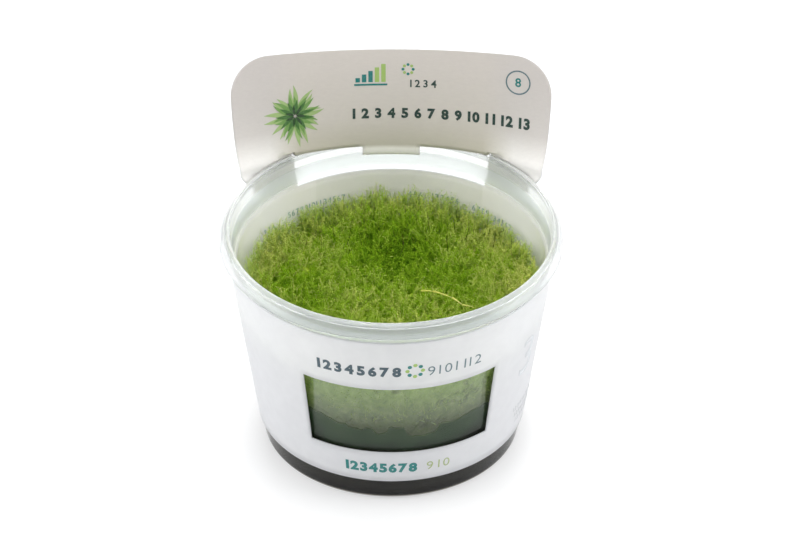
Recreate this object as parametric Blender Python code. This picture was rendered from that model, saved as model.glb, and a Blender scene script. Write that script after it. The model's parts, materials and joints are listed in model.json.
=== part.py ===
"""A tissue culture cup of creeping feather moss: clear cup, card sleeve, nutrient gel and moss.

Metres, +Z up. The origin is the middle of the cup's flat underside. The sleeve's window faces
-Y, and its header card stands up behind the cup at +Y.
"""

import math
import random

import bmesh
import bpy
from mathutils import Vector

# Driving dimensions of the cup
CUP_HEIGHT = 0.0700
CUP_STEPS = 72
FOOT_RADIUS = 0.0376
FLOOR_THICKNESS = 0.0009
WALL_THICKNESS = 0.0008
WALL_SLOPE = 0.1306
LEDGE_Z = 0.0603
LEDGE_WIDTH = 0.0009
MOUTH_RADIUS = 0.0467
FLANGE_RADIUS = 0.0500
FLANGE_TOP_DROP = 0.0026
FLANGE_LIP_DROP = 0.0039

# Driving dimensions of the card sleeve, measured on the middle of its thickness. The bends are
# curvatures in 1/m, and the crown is how the header's cut edges rise towards its sides, in 1/m.
CARD_THICKNESS = 0.0004
SLEEVE_LOW_Z = 0.0079
SLEEVE_LOW_RADIUS = 0.0392
SLEEVE_SLOPE = 0.148
SLEEVE_HIGH_Z = 0.0633
WINDOW_LEFT_DEG = -34.3
WINDOW_RIGHT_DEG = 41.6
WINDOW_LOW_Z = 0.0195
WINDOW_HIGH_Z = 0.0450
SLOT_HALF_WIDTH = 0.0302
SLOT_LOW_Z = 0.0588
SLOT_HIGH_Z = 0.0703
TAB_HALF_WIDTH = 0.0085
TAB_LOW_Z = 0.0674
HEADER_HIGH_Z = 0.1012
HEADER_MIDDLE_Y = 0.0421
HEADER_LEAN = 0.15
HEADER_LOW_BEND = 12.8
HEADER_HIGH_BEND = 6.3
HEADER_BEND_FADE = 0.008
HEADER_CROWN = 0.4
HEADER_FREE_Z = 0.0690
HEADER_CORNER_RADIUS = 0.0120
NECK_HALF_WIDTH = 0.0470
NECK_FILLET = 0.0040
HEADER_SIDE_FLARE = 0.04
SHOULDER_CLEARANCE = 0.00075

# Driving dimensions of the gel and the moss
FILL_CLEARANCE = 0.0003
ROOT_CLEARANCE = 0.0005
GEL_TOP_Z = 0.0285
GEL_WAVE = 0.0013
GEL_KNEE_Z = 0.0028
MOSS_SHOULDER_Z = 0.0455
MOSS_TIP_Z = 0.0545
MOSS_TIP_SPREAD = 0.0032
MOSS_CELLS = 15
MOSS_LEAN = 0.0032
MOSS_SEED = 11


def clear_scene():
    for old in list(bpy.data.objects):
        bpy.data.objects.remove(old, do_unlink=True)


def principled(name, colour, roughness, alpha=1.0):
    material = bpy.data.materials.new(name)
    material.use_nodes = True
    shader = material.node_tree.nodes["Principled BSDF"]
    shader.inputs["Base Color"].default_value = (*colour, 1.0)
    shader.inputs["Roughness"].default_value = roughness
    shader.inputs["Metallic"].default_value = 0.0
    shader.inputs["Alpha"].default_value = alpha
    return material


def place(name, bm, material, sharp_deg=40.0):
    """Turns a bmesh into a smooth shaded object whose creases stay sharp."""
    mesh = bpy.data.meshes.new(name)
    bm.to_mesh(mesh)
    bm.free()
    mesh.materials.append(material)
    mesh.shade_smooth()
    mesh.set_sharp_from_angle(angle=math.radians(sharp_deg))
    made = bpy.data.objects.new(name, mesh)
    bpy.context.scene.collection.objects.link(made)
    return made


def mix(a, b, share):
    return a + (b - a) * share


def ease(value, low, high):
    """Runs smoothly from 0 at low to 1 at high."""
    share = min(max((value - low) / (high - low), 0.0), 1.0)
    return share * share * (3.0 - 2.0 * share)


def steps_between(low, high, count):
    """The values after low, up to and with high, in equal steps."""
    return [mix(low, high, (step + 1) / count) for step in range(count)]


def wall_outer(z):
    """The cup's outer radius below its ledge."""
    return FOOT_RADIUS + WALL_SLOPE * z


def wall_inner(z):
    return wall_outer(z) - WALL_THICKNESS


def cup_profile():
    """The cup's half section: out along its floor, up inside, over the rim and down outside."""
    top = CUP_HEIGHT
    ledge_r = wall_inner(LEDGE_Z) + LEDGE_WIDTH
    lip_z = top - FLANGE_LIP_DROP
    edge_z = top - FLANGE_TOP_DROP
    web = WALL_THICKNESS
    return [
        (0.0, FLOOR_THICKNESS),
        (wall_inner(0.0) - 0.0014, FLOOR_THICKNESS),
        (wall_inner(0.0) - 0.0003, FLOOR_THICKNESS + 0.0005),
        (wall_inner(0.0024), 0.0024),
        (wall_inner(LEDGE_Z), LEDGE_Z),
        (ledge_r, LEDGE_Z + 0.0004),
        (MOUTH_RADIUS, top - 0.0002),
        (MOUTH_RADIUS + 0.0003, top),
        (MOUTH_RADIUS + 0.0014, top - 0.0005),
        (FLANGE_RADIUS, edge_z),
        (FLANGE_RADIUS, lip_z),
        (FLANGE_RADIUS - web, lip_z),
        (FLANGE_RADIUS - web, lip_z + 0.0004),
        (MOUTH_RADIUS + 0.0014, top - 0.0014),
        (MOUTH_RADIUS + web, top - 0.0016),
        (ledge_r + web, LEDGE_Z - 0.0002),
        (wall_outer(LEDGE_Z - web), LEDGE_Z - web),
        (wall_outer(0.0022), 0.0022),
        (wall_outer(0.0), 0.0008),
        (wall_outer(0.0) - 0.0012, 0.0),
        (0.0, 0.0),
    ]


def turned(profile, steps):
    """Spins a half section, given as (radius, height) points, about Z into a closed body."""
    bm = bmesh.new()
    points = [bm.verts.new((radius, 0.0, z)) for radius, z in profile]
    edges = [bm.edges.new(pair) for pair in zip(points, points[1:])]
    bmesh.ops.spin(
        bm, geom=points + edges, cent=(0, 0, 0), axis=(0, 0, 1), angle=math.tau,
        steps=steps, use_merge=True,
    )
    bmesh.ops.remove_doubles(bm, verts=bm.verts, dist=1e-7)
    bmesh.ops.recalc_face_normals(bm, faces=bm.faces)
    return bm


def make_cup():
    plastic = principled("cup_plastic", (0.86, 0.90, 0.88), 0.30, alpha=0.35)
    return place("cup", turned(cup_profile(), CUP_STEPS), plastic, sharp_deg=35.0)


def sleeve_radius(z):
    return SLEEVE_LOW_RADIUS + SLEEVE_SLOPE * (z - SLEEVE_LOW_Z)


def header_half_width(z):
    """Half of the card's width above the wrap: a filleted neck, a flare and rounded corners."""
    width = NECK_HALF_WIDTH + HEADER_SIDE_FLARE * max(z - SLEEVE_HIGH_Z - NECK_FILLET, 0.0)
    down = SLEEVE_HIGH_Z + NECK_FILLET - z
    if down > 0.0:
        width += NECK_FILLET - math.sqrt(max(NECK_FILLET**2 - down**2, 0.0))
    up = z - (HEADER_HIGH_Z - HEADER_CORNER_RADIUS)
    if up > 0.0:
        width += math.sqrt(max(HEADER_CORNER_RADIUS**2 - up**2, 0.0)) - HEADER_CORNER_RADIUS
    return width


def shoulder_radius(z):
    """The least radius at which the shoulders, beside the slot, pass round the cup's flange."""
    outside = FLANGE_RADIUS + SHOULDER_CLEARANCE
    lip_z = CUP_HEIGHT - FLANGE_LIP_DROP
    edge_z = CUP_HEIGHT - FLANGE_TOP_DROP
    if z < lip_z:
        return mix(sleeve_radius(SLEEVE_HIGH_Z), outside, ease(z, SLEEVE_HIGH_Z - 0.001, lip_z))
    if z < edge_z:
        return outside
    return mix(outside, MOUTH_RADIUS + 0.0016, (z - edge_z) / (SLOT_HIGH_Z - edge_z))


def header_bend(z):
    """The header's curvature, in 1/m: it springs flatter the higher it stands over the cup."""
    fade = math.exp(-max(z - SLOT_HIGH_Z, 0.0) / HEADER_BEND_FADE)
    return mix(HEADER_HIGH_BEND, HEADER_LOW_BEND, fade)


BACK_RADIUS = sleeve_radius(SLEEVE_HIGH_Z)
NECK_BASE = NECK_HALF_WIDTH + NECK_FILLET
SLOT_DEG = math.degrees(SLOT_HALF_WIDTH / BACK_RADIUS)
TAB_DEG = math.degrees(TAB_HALF_WIDTH / BACK_RADIUS)
NECK_DEG = math.degrees(NECK_BASE / BACK_RADIUS)


def card_point(front_deg, z):
    """Where the card is, for an angle from the front on the wrap and a height.

    Below SLEEVE_HIGH_Z the card is a cone. Above it, the part round the back opens out into
    the gently bent header, and its shoulders bow out past the flange.
    """
    radius = sleeve_radius(min(z, HEADER_FREE_Z))
    angle = math.radians(front_deg)
    back_deg = abs(180.0 - front_deg % 360.0)
    if z <= SLOT_LOW_Z or back_deg > NECK_DEG + 1e-6:
        return Vector((radius * math.sin(angle), -radius * math.cos(angle), z))
    along = math.radians(back_deg) * BACK_RADIUS
    outward = (along - SLOT_HALF_WIDTH) / (NECK_BASE - SLOT_HALF_WIDTH)
    if outward > 0.0:
        along = mix(SLOT_HALF_WIDTH, header_half_width(max(z, SLEEVE_HIGH_Z)), outward)
    else:
        along *= min(header_half_width(z) / NECK_HALF_WIDTH, 1.0)
    side = math.copysign(1.0, 180.0 - front_deg)
    on_cone = Vector((
        side * radius * math.sin(along / BACK_RADIUS), radius * math.cos(along / BACK_RADIUS),
    ))
    bend = header_bend(z)
    middle_y = HEADER_MIDDLE_Y + HEADER_LEAN * (z - SLOT_HIGH_Z)
    on_header = Vector((
        side * math.sin(along * bend) / bend, middle_y - (1.0 - math.cos(along * bend)) / bend,
    ))
    opening_z = mix(SLOT_LOW_Z, SLEEVE_HIGH_Z, min(max(outward, 0.0), 1.0))
    flat = on_cone.lerp(on_header, ease(z, opening_z, HEADER_FREE_Z))
    if z < SLOT_HIGH_Z + 1e-6 and outward > -1e-6:
        flat.y = max(flat.y, math.sqrt(max(shoulder_radius(z)**2 - flat.x**2, 0.0)))
    crown = HEADER_CROWN * along**2 * ease(z, SLOT_HIGH_Z, HEADER_HIGH_Z)
    return Vector((flat.x, flat.y, z + crown))


def card_columns():
    """Angles from the front, once round past +X and the back, with a column on every cut edge."""
    stops = [
        (WINDOW_LEFT_DEG, 0), (WINDOW_RIGHT_DEG, 15), (180.0 - NECK_DEG, 14),
        (180.0 - SLOT_DEG, 5), (180.0 - TAB_DEG, 5), (180.0 + TAB_DEG, 4),
        (180.0 + SLOT_DEG, 5), (180.0 + NECK_DEG, 5), (360.0 + WINDOW_LEFT_DEG, 16),
    ]
    columns = []
    for (low_deg, _), (high_deg, count) in zip(stops, stops[1:]):
        columns += steps_between(low_deg, high_deg, count)
    return columns


def card_rows():
    """Heights up the card, with a row on every cut edge and close ones round each bend."""
    corner_z = HEADER_HIGH_Z - HEADER_CORNER_RADIUS
    rows = [SLEEVE_LOW_Z, WINDOW_LOW_Z, WINDOW_HIGH_Z, SLOT_LOW_Z]
    rows += steps_between(SLOT_LOW_Z, SLEEVE_HIGH_Z, 2)
    rows += [SLEEVE_HIGH_Z + NECK_FILLET * share for share in (0.1, 0.35, 0.65, 1.0)]
    rows += [TAB_LOW_Z, mix(TAB_LOW_Z, SLOT_HIGH_Z, 0.5), SLOT_HIGH_Z]
    rows += steps_between(SLOT_HIGH_Z, corner_z, 5)
    turns = [math.radians(90.0 * step / 7) for step in range(1, 8)]
    rows += [corner_z + HEADER_CORNER_RADIUS * math.sin(turn) for turn in turns]
    return rows


def card_is_solid(front_deg, z):
    """Tells whether there is card at a place on the pattern, away from its cut edges."""
    back_deg = abs(180.0 - front_deg % 360.0)
    in_window_width = WINDOW_LEFT_DEG < (front_deg + 180.0) % 360.0 - 180.0 < WINDOW_RIGHT_DEG
    if in_window_width and WINDOW_LOW_Z < z < WINDOW_HIGH_Z:
        return False
    if z > SLEEVE_HIGH_Z and back_deg > NECK_DEG:
        return False
    if back_deg < SLOT_DEG and SLOT_LOW_Z < z < SLOT_HIGH_Z:
        return back_deg < TAB_DEG and z > TAB_LOW_Z
    return True


def make_card_sleeve():
    """One die-cut card: the wrap with its window, the neck, the slot with its tab, the header."""
    bm = bmesh.new()
    columns = card_columns()
    rows = card_rows()
    corners = {}

    def corner(column, row):
        key = (column % len(columns), row)
        if key not in corners:
            corners[key] = bm.verts.new(card_point(columns[key[0]], rows[row]))
        return corners[key]

    for column, (low_deg, high_deg) in enumerate(zip(columns, columns[1:] + [columns[0] + 360.0])):
        middle_deg = mix(low_deg, high_deg, 0.5)
        for row in range(len(rows) - 1):
            if card_is_solid(middle_deg, mix(rows[row], rows[row + 1], 0.5)):
                bm.faces.new((
                    corner(column, row), corner(column + 1, row),
                    corner(column + 1, row + 1), corner(column, row + 1),
                ))
    bmesh.ops.recalc_face_normals(bm, faces=bm.faces)
    made = place("card_sleeve", bm, principled("white_card", (0.82, 0.81, 0.80), 0.55))
    thick = made.modifiers.new("thickness", "SOLIDIFY")
    thick.thickness = CARD_THICKNESS
    thick.offset = 0.0
    thick.use_even_offset = True
    return made


def gel_top(x, y):
    """The gel's uneven top, on which the moss has rooted."""
    wave = math.sin(210.0 * x + 1.3) * math.cos(170.0 * y - 0.4)
    return GEL_TOP_Z + GEL_WAVE * (wave + 0.5 * math.sin(330.0 * x - 260.0 * y))


def disc_grid(cells):
    """Points of a square grid drawn round into a unit disc, keyed by column and row."""
    points = {}
    for i in range(cells + 1):
        for j in range(cells + 1):
            u = 2.0 * i / cells - 1.0
            v = 2.0 * j / cells - 1.0
            points[i, j] = (u * math.sqrt(1.0 - v * v / 2.0), v * math.sqrt(1.0 - u * u / 2.0))
    return points


def grid_rim(cells):
    """The keys round the edge of a disc grid, in order."""
    low = [(i, 0) for i in range(cells)]
    right = [(cells, j) for j in range(cells)]
    high = [(cells - i, cells) for i in range(cells)]
    left = [(0, cells - j) for j in range(cells)]
    return low + right + high + left


def filled_disc(bm, cells, surface):
    """Adds a disc of quads whose corners come from surface(x share, y share)."""
    corners = {
        key: bm.verts.new(surface(*shares)) for key, shares in disc_grid(cells).items()
    }
    faces = []
    for i in range(cells):
        for j in range(cells):
            square = ((i, j), (i + 1, j), (i + 1, j + 1), (i, j + 1))
            faces.append(bm.faces.new([corners[key] for key in square]))
    return [corners[key] for key in grid_rim(cells)], faces


def joined_sides(bm, low_ring, high_ring):
    count = len(low_ring)
    for k in range(count):
        after = (k + 1) % count
        bm.faces.new((low_ring[k], low_ring[after], high_ring[after], high_ring[k]))


def make_growth_gel():
    """Dark nutrient gel that fills the foot of the cup."""
    bm = bmesh.new()
    radius = wall_inner(GEL_TOP_Z - 2.0 * GEL_WAVE) - FILL_CLEARANCE

    def top(x, y):
        return radius * x, radius * y, gel_top(radius * x, radius * y)

    high_ring, _ = filled_disc(bm, MOSS_CELLS, top)
    sides = ((GEL_KNEE_Z, wall_inner(GEL_KNEE_Z)), (FLOOR_THICKNESS, wall_inner(0.0) - 0.0014))
    for low_z, wall in sides:
        out = wall - 1.3 * FILL_CLEARANCE
        turns = [vert.co.xy.normalized() * out for vert in high_ring]
        low_ring = [bm.verts.new((turn.x, turn.y, low_z + FILL_CLEARANCE)) for turn in turns]
        joined_sides(bm, low_ring, high_ring)
        high_ring = low_ring
    bm.faces.new(high_ring)
    bmesh.ops.recalc_face_normals(bm, faces=bm.faces)
    return place("growth_gel", bm, principled("growth_gel", (0.05, 0.045, 0.035), 0.35))


def raise_tuft(bm, face, rng):
    """Grows one leaning, tapering tuft out of a face of the mat."""
    base = list(face.verts)
    centre = face.calc_center_median()
    bend = Vector((rng.uniform(-1, 1), rng.uniform(-1, 1))) * MOSS_LEAN
    tip_z = MOSS_TIP_Z + rng.uniform(-1.0, 0.7) * MOSS_TIP_SPREAD
    tip = Vector((centre.x + bend.x, centre.y + bend.y, tip_z))
    reach = wall_inner(tip_z) - 2.0 * FILL_CLEARANCE
    if tip.xy.length > reach:
        tip.xy *= reach / tip.xy.length
    waist = []
    for vert in base:
        along = centre.lerp(tip, 0.52)
        out = (vert.co - centre) * rng.uniform(0.42, 0.58)
        waist.append(bm.verts.new((along.x + out.x, along.y + out.y, along.z)))
    point = bm.verts.new(tip)
    bm.faces.remove(face)
    for k in range(len(base)):
        after = (k + 1) % len(base)
        bm.faces.new((base[k], base[after], waist[after], waist[k]))
        bm.faces.new((waist[k], waist[after], point))


def make_moss():
    """The moss as one grown mat: rooted on the gel, with a tuft on every cell of its top."""
    rng = random.Random(MOSS_SEED)
    bm = bmesh.new()

    def bottom(x, y):
        radius = wall_inner(GEL_TOP_Z - 2.0 * GEL_WAVE) - FILL_CLEARANCE
        return radius * x, radius * y, gel_top(radius * x, radius * y) + ROOT_CLEARANCE

    def top(x, y):
        radius = wall_inner(MOSS_SHOULDER_Z) - 2.0 * FILL_CLEARANCE
        uneven = 0.0012 * math.sin(190.0 * radius * x) * math.cos(230.0 * radius * y + 0.7)
        return radius * x, radius * y, MOSS_SHOULDER_Z + uneven

    low_ring, _ = filled_disc(bm, MOSS_CELLS, bottom)
    high_ring, cells = filled_disc(bm, MOSS_CELLS, top)
    joined_sides(bm, low_ring, high_ring)
    bmesh.ops.recalc_face_normals(bm, faces=bm.faces)
    for cell in cells:
        raise_tuft(bm, cell, rng)
    bmesh.ops.recalc_face_normals(bm, faces=bm.faces)
    return place("moss", bm, principled("moss_green", (0.30, 0.46, 0.06), 0.75), sharp_deg=60.0)


def main():
    clear_scene()
    make_cup()
    make_card_sleeve()
    make_growth_gel()
    make_moss()


main()
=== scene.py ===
"""Looks of the moss cup: clear cup, printed card sleeve, nutrient gel and grown moss.

Metres, +Z up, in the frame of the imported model. The window faces -Y, the header stands at +Y.
"""

import json
from math import atan, copysign, cos, degrees, exp, pi, radians, sin, sqrt, tau

import bmesh
import bpy
import numpy as np
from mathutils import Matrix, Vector

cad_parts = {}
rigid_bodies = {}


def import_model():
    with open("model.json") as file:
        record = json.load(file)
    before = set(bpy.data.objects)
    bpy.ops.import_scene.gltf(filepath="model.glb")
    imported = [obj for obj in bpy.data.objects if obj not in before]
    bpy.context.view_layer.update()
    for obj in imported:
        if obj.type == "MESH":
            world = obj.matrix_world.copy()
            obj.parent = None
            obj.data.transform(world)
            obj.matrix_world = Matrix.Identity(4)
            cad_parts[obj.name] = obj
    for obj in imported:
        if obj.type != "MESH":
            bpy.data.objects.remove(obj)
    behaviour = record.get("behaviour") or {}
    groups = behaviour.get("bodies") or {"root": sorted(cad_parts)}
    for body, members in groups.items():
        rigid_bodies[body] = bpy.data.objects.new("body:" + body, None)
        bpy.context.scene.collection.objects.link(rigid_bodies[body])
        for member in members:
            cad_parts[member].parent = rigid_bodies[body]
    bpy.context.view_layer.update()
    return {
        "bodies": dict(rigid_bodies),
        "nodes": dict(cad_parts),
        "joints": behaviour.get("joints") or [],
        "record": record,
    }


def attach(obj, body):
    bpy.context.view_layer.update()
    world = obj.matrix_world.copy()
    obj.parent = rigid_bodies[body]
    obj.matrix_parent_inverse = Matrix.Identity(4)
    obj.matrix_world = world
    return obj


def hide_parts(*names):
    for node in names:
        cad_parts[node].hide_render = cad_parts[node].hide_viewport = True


# The photograph's view: a long lens, far off, looking down at the rim
VIEW_ELEVATION_DEG = 34.84
VIEW_DISTANCE = 1.30
VIEW_LENS_MM = 202.6
VIEW_SENSOR_MM = 36.0
AIM_RIGHT = 0.0025
AIM_BELOW_RIM = 0.0113

# The cup, as in its solid
CUP_HEIGHT = 0.0700
CUP_STEPS = 192
FOOT_RADIUS = 0.0376
FLOOR_THICKNESS = 0.0009
WALL_THICKNESS = 0.0008
WALL_SLOPE = 0.1306
LEDGE_Z = 0.0603
LEDGE_WIDTH = 0.0009
MOUTH_RADIUS = 0.0467
FLANGE_RADIUS = 0.0500
FLANGE_TOP_DROP = 0.0026
FLANGE_LIP_DROP = 0.0039

# The studio's soft panels: name, place, size and power, all aimed at the cup's middle
PANELS = (
    ("panel_above", (0.05, 0.05, 0.9), (0.6, 0.5), 5.2),
    ("panel_behind", (0.0, 0.75, 0.55), (0.6, 0.4), 3.5),
    ("panel_left", (-0.8, -0.05, 0.35), (0.5, 0.5), 2.9),
    ("panel_right", (0.8, -0.05, 0.35), (0.5, 0.5), 2.9),
)
PANEL_AIM = (0, 0, 0.05)
SKY_COLOUR = (0.97, 0.985, 1.0, 1.0)
SKY_STRENGTH = 0.74
TABLE_GLOW = 0.50

# The card, measured on the middle of its thickness; bends are curvatures in 1/m
CARD_THICKNESS = 0.0004
SLEEVE_LOW_Z = 0.0079
SLEEVE_LOW_RADIUS = 0.0392
SLEEVE_SLOPE = 0.148
SLEEVE_HIGH_Z = 0.0633
WINDOW_LEFT_DEG = -34.3
WINDOW_RIGHT_DEG = 41.6
WINDOW_LOW_Z = 0.0195
WINDOW_HIGH_Z = 0.0450
SLOT_HALF_WIDTH = 0.0302
SLOT_LOW_Z = 0.0588
SLOT_HIGH_Z = 0.0703
TAB_HALF_WIDTH = 0.0085
TAB_LOW_Z = 0.0674
HEADER_HIGH_Z = 0.1012
HEADER_MIDDLE_Y = 0.0421
HEADER_LEAN = 0.15
HEADER_LOW_BEND = 12.8
HEADER_HIGH_BEND = 6.3
HEADER_BEND_FADE = 0.008
HEADER_CROWN = 0.4
HEADER_FREE_Z = 0.0690
HEADER_CORNER_RADIUS = 0.0120
NECK_HALF_WIDTH = 0.0470
NECK_FILLET = 0.0040
HEADER_SIDE_FLARE = 0.04
SHOULDER_CLEARANCE = 0.00075

# How milky the cup's plastic is, in its thin wall and in its rim, what it mirrors of a ray
# that meets it head on, and what share of the light each side of the card lets through
WALL_MILK = 0.02
FLARE_MILK = 0.55
RIM_MILK = 0.17
FILM_SHARE = 0.36
PLASTIC_MIRRORS = 0.03
# The wall mirrors twice as much over the moss band. In two upright strips beside the window's edges,
# set by the x limits below, it mirrors almost nothing and has no milk either: these strips are painted
# shade.
MOSS_BAND_MIRRORS = 0.060
SHADED_STRIP_MIRRORS = 0.010
SHADED_STRIP_LEFT_X = -0.0223
SHADED_STRIP_RIGHT_X = 0.0270
SHADED_STRIP_EDGE = 0.0003
WET_FOOT_Z = 0.0185
RIM_LOW_Z = 0.0655
CARD_LETS_THROUGH = 0.32

# The printing: each ink's colour, how far it stands off the board and how thick it is
PRINT_LIFT = 0.00002
PRINT_THICKNESS = 0.00003
INKS = {
    "slate": (0.045, 0.080, 0.100), "slate_pale": (0.100, 0.165, 0.190), "teal": (0.010, 0.180, 0.170),
    "teal_pale": (0.160, 0.360, 0.340), "green_pale": (0.330, 0.480, 0.130),
    "green_grey": (0.360, 0.430, 0.200), "green_black": (0.012, 0.040, 0.032),
    "grey_pale": (0.560, 0.580, 0.600), "leaf_pale": (0.330, 0.460, 0.180),
    "leaf_mid": (0.150, 0.300, 0.070), "leaf_deep": (0.050, 0.150, 0.030),
    "leaf_dark": (0.015, 0.055, 0.012),
}

# Groups of numbers inside the wrap: middle in degrees from the back, height, first, last, width
INSIDE_GROUPS = (
    (53.0, 0.0502, 2, 4, 0.0050), (35.0, 0.0510, 5, 11, 0.0120), (22.0, 0.0510, 3, 7, 0.0070),
    (28.0, 0.0482, 4, 8, 0.0080), (-9.0, 0.0508, 4, 6, 0.0045), (-21.0, 0.0510, 12, 16, 0.0085),
    (-36.0, 0.0506, 6, 9, 0.0060), (-47.0, 0.0500, 3, 7, 0.0075), (-30.0, 0.0482, 2, 5, 0.0060),
)

# The gel and the moss
FILL_CLEARANCE = 0.0003
MAT_CLEARANCE = 0.0001
GEL_TOP_Z = 0.0285
GEL_WETS = 0.00015
GEL_LOBES = (
    (-23.0, 6.0, 0.6), (-15.0, 4.0, 1.7), (-8.0, 4.2, 1.2), (-4.2, 3.2, 2.3), (2.6, 2.6, 0.7),
    (12.4, 7.4, 4.3), (22.0, 5.0, 1.0), (29.5, 4.5, 0.7),
)
WALL_SHOOT_CLEARANCE = 0.00005
MOSS_MAT_Z = 0.0462
MAT_STANDOFF = 0.0005
CANOPY_TOP_Z = 0.0560
MOSS_SEED = 7
CANOPY_SHOOTS = 7600
CANOPY_TUFTS = 420
WALL_SHOOTS = 1000
FRINGE_SHOOTS = 2500
STALKS = 60
CURLS = 420
# Mounds and hollows of the moss: middle x and y and reach in mm, and how high and light or low and
# dark; the light and dark are painted light and shade
MOSS_PATCHES = (
    (0.0, 20.0, 14.0, -0.24), (4.0, 10.0, 9.0, -0.12), (-29.0, 4.0, 7.0, -0.20),
    (-24.0, -9.0, 5.0, -0.18), (19.0, 2.0, 6.0, -0.18), (26.0, -10.0, 6.0, -0.12),
    (36.0, -8.0, 9.0, 0.22), (2.0, -27.0, 6.0, 0.16), (-37.0, 18.0, 9.0, 0.16),
    (-20.0, 12.0, 5.0, 0.10), (-14.0, -26.0, 6.0, 0.08), (28.0, 22.0, 8.0, 0.12),
    (16.0, -28.0, 7.0, 0.10), (-10.0, -8.0, 5.0, 0.08), (8.0, -12.0, 5.0, 0.06),
)


def mix(a, b, share):
    return a + (b - a) * share


def ease(value, low, high):
    """Runs smoothly from 0 at low to 1 at high."""
    share = np.clip((value - low) / (high - low), 0.0, 1.0)
    return share * share * (3.0 - 2.0 * share)


def steps_between(low, high, count):
    """The values after low, up to and with high, in equal steps."""
    return [mix(low, high, (step + 1) / count) for step in range(count)]


class Surface:
    """A procedural material while its nodes are put together."""

    def __init__(self, name, **values):
        self.material = bpy.data.materials.new(name)
        self.material.use_nodes = True
        self.tree = self.material.node_tree
        self.shader = self.tree.nodes["Principled BSDF"]
        self.place = self.tree.nodes.new("ShaderNodeTexCoord").outputs["Object"]
        for socket, value in values.items():
            self.into(socket.replace("_", " "), value)

    def feed(self, socket, value):
        """Links an output to a socket, or sets a plain value on it."""
        if isinstance(value, bpy.types.NodeSocket):
            self.tree.links.new(value, socket)
        else:
            socket.default_value = (*value, 1.0) if socket.type == "RGBA" else value

    def into(self, name, value):
        self.feed(self.shader.inputs[name], value)

    def node(self, kind, inputs=(), out=0, **settings):
        """Adds a node and gives one of its outputs; inputs are (name or number, value) pairs."""
        made = self.tree.nodes.new("ShaderNode" + kind)
        for name, value in settings.items():
            setattr(made, name, value)
        for name, value in inputs:
            self.feed(made.inputs[name], value)
        return made.outputs[out]

    def axis(self, name):
        return self.node("SeparateXYZ", [(0, self.place)], name)

    def noise(self, scale, detail=2.0, roughness=0.5, stretch=(1.0, 1.0, 1.0)):
        place = self.node("Mapping", [("Vector", self.place), ("Scale", stretch)])
        return self.node("TexNoise", [
            ("Vector", place), ("Scale", scale), ("Detail", detail), ("Roughness", roughness),
        ], "Fac")

    def ramp(self, value, *stops):
        """Colours along a value; stops are (place, colour or grey) pairs."""
        colour = self.node("ValToRGB", [("Fac", value)])
        points = colour.node.color_ramp.elements
        while len(points) < len(stops):
            points.new(0.5)
        for point, (place, tone) in zip(points, stops):
            point.position = place
            point.color = (*(tone if isinstance(tone, tuple) else (tone,) * 3), 1.0)
        return colour

    def grain(self, scale, dark, light, detail=2.0, roughness=0.5, low=0.3, high=0.7):
        """Noise that runs from a dark to a light colour or grey."""
        return self.ramp(self.noise(scale, detail, roughness), (low, dark), (high, light))

    def between(self, value, low, high, to_low=0.0, to_high=1.0):
        return self.node("MapRange", enumerate((value, low, high, to_low, to_high)))

    def uneven(self, scale, low, high):
        """A number that wavers between two values."""
        return self.between(self.noise(scale), 0.3, 0.7, low, high)

    def blend(self, share, a, b, kind="MIX"):
        """Mixes two colours; 6, 7 and 2 are the numbers of the node's colour sockets."""
        return self.node("Mix", [(0, share), (6, a), (7, b)], 2, data_type="RGBA", blend_type=kind)

    def times(self, a, b):
        return self.blend(1.0, a, b, "MULTIPLY")

    def bump(self, height, distance, strength):
        normal = self.node("Bump", [
            ("Height", height), ("Distance", distance), ("Strength", strength),
        ])
        self.into("Normal", normal)
        return normal

    def mixed(self, share, a, b):
        return self.node("MixShader", enumerate((share, a, b)))

    def show(self, shader):
        self.feed(self.tree.nodes["Material Output"].inputs["Surface"], shader)

    def let_light_through(self, colour, share):
        """Gives a thin opaque surface some of the light that falls on its other side."""
        thin = self.node("BsdfTranslucent", [("Color", colour)])
        self.show(self.mixed(share, self.shader.outputs[0], thin))


def add_object(name, data):
    made = bpy.data.objects.new(name, data)
    bpy.context.scene.collection.objects.link(made)
    return made


def mesh_of(name, bm):
    mesh = bpy.data.meshes.new(name)
    bm.to_mesh(mesh)
    bm.free()
    return mesh


def finish_mesh(name, shape, materials, node=None, sharp_deg=None):
    """Makes the object from a bmesh or a mesh, shades it and hangs it on the frame."""
    mesh = mesh_of(name, shape) if isinstance(shape, bmesh.types.BMesh) else shape
    for material in materials:
        mesh.materials.append(material)
    if sharp_deg is not None:
        mesh.shade_smooth()
        mesh.set_sharp_from_angle(angle=radians(sharp_deg))
    made = add_object(name, mesh)
    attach(made, "root")
    if node:
        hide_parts(node)
    return made


def look_at(thing, place, aim):
    thing.location = place
    thing.rotation_mode = "QUATERNION"
    thing.rotation_quaternion = (Vector(aim) - Vector(place)).to_track_quat("-Z", "Y")


def make_camera():
    elevation = radians(VIEW_ELEVATION_DEG)
    data = bpy.data.cameras.new("camera")
    data.lens = VIEW_LENS_MM
    data.sensor_width = VIEW_SENSOR_MM
    data.clip_start = 0.05
    data.clip_end = 60.0
    back = Vector((0.0, -cos(elevation), sin(elevation)))
    up = Vector((0.0, sin(elevation), cos(elevation)))
    rim = Vector((0.0, 0.0, CUP_HEIGHT))
    aim = rim + Vector((AIM_RIGHT, 0.0, 0.0)) - up * AIM_BELOW_RIM
    camera = add_object("camera", data)
    look_at(camera, rim + back * VIEW_DISTANCE, aim)
    bpy.context.scene.camera = camera


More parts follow.
